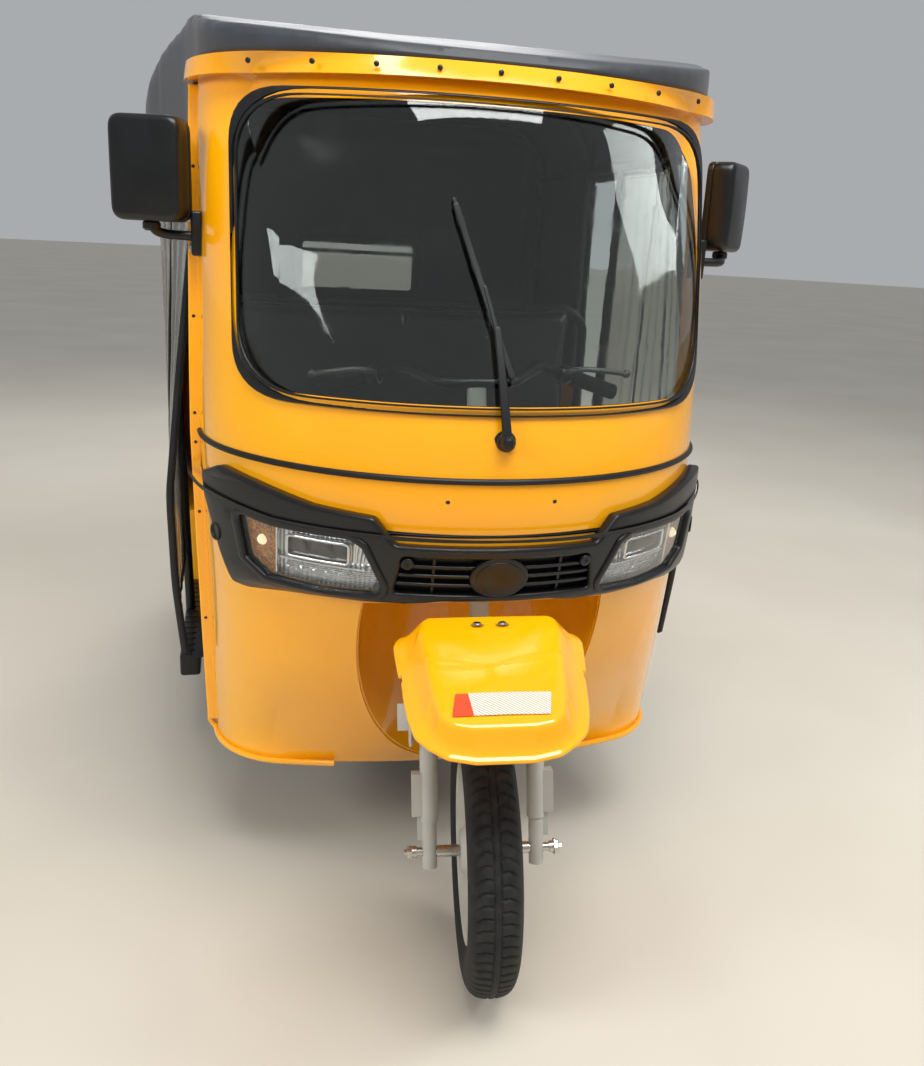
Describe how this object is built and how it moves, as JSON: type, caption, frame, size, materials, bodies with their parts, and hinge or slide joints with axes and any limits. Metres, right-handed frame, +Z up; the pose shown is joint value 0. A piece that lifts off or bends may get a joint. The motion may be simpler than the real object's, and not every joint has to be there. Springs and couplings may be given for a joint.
{
  "type": "three-wheeled auto rickshaw",
  "caption": "Three-wheeled passenger auto rickshaw with a curved front cowl, steered front wheel, leatherette hood over driver and passenger benches, and a tail tub with a lid.",
  "frame": {"origin": "centre of the footprint box at floor level", "axes": "the vehicle faces -Y, +X is its left side, +Z is up"},
  "size_m": [1.336, 2.6786, 1.7999],
  "materials": {
    "yellow_paint": "gloss",
    "black_frame_paint": "satin",
    "grey_fork_paint": "satin",
    "rim_paint": "satin",
    "zinc_plate": "plated",
    "engine_metal": "cast",
    "black_plastic": "satin",
    "seal_rubber": "matte",
    "grip_rubber": "matte",
    "tyre": "matte",
    "windscreen": "clear",
    "clear_film": "clear",
    "lamp_lens": "clear",
    "red_lens": "gloss",
    "hood_leatherette": "grained",
    "seat_leatherette": "grained"
  },
  "bodies": {
    "root": {"chassis_frame": "black_frame_paint", "floor_pan": "black_frame_paint", "front_cowl": "yellow_paint", "wheel_well": "yellow_paint", "windscreen_glass": "windscreen", "windscreen_seal": "seal_rubber", "front_visor": "yellow_paint", "trim_strip": "seal_rubber", "headlamp_mask": "black_plastic", "headlamps": "lamp_lens", "mirror_left": "black_plastic", "mirror_right": "black_plastic", "wiper": "black_plastic", "dash_panel": "black_plastic", "canopy": "hood_leatherette", "rear_window": "clear_film", "canopy_frame": "black_frame_paint", "partition": "black_frame_paint", "seat_bases": "black_frame_paint", "driver_cushion": "seat_leatherette", "driver_backrest": "seat_leatherette", "rear_cushion": "seat_leatherette", "rear_backrest": "seat_leatherette", "rear_body": "yellow_paint", "rear_bumper": "black_frame_paint", "tail_lamps": "red_lens", "engine_block": "engine_metal", "rear_axle": "black_frame_paint", "rear_shocks": "black_frame_paint", "brake_pedal": "black_frame_paint", "side_curtains": "clear_film"},
    "steering": {"steering_fork": "grey_fork_paint", "fork_legs": "grey_fork_paint", "front_axle": "zinc_plate", "handlebar": "black_frame_paint", "grips": "grip_rubber", "front_mudguard": "yellow_paint"},
    "front_wheel": {"front_tyre": "tyre", "front_rim": "rim_paint"},
    "rear_wheel_left": {"rear_tyre_left": "tyre", "rear_rim_left": "rim_paint"},
    "rear_wheel_right": {"rear_tyre_right": "tyre", "rear_rim_right": "rim_paint"},
    "engine_lid": {"engine_lid": "yellow_paint"}
  },
  "joints": [
    {"name": "steering_turn", "type": "hinge", "parent": "root", "child": "steering", "pos_m": [0, -1.02393, 0.25339], "axis": [0, 0.2756, 0.9613], "range_deg": [-28, 44]},
    {"name": "front_wheel_spin", "type": "hinge", "parent": "steering", "child": "front_wheel", "pos_m": [-0.00334, -1.04678, 0.25994], "axis": [0.9903, -0.1338, 0.0384], "continuous": true},
    {"name": "rear_wheel_left_spin", "type": "hinge", "parent": "root", "child": "rear_wheel_left", "pos_m": [0.56, 0.953, 0.26], "axis": [1, 0, 0], "continuous": true},
    {"name": "rear_wheel_right_spin", "type": "hinge", "parent": "root", "child": "rear_wheel_right", "pos_m": [-0.56, 0.953, 0.26], "axis": [1, 0, 0], "continuous": true},
    {"name": "engine_lid_lift", "type": "hinge", "parent": "root", "child": "engine_lid", "pos_m": [0, 1.2735, 0.8025], "axis": [1, 0, 0], "range_deg": [0, 80]}
  ]
}
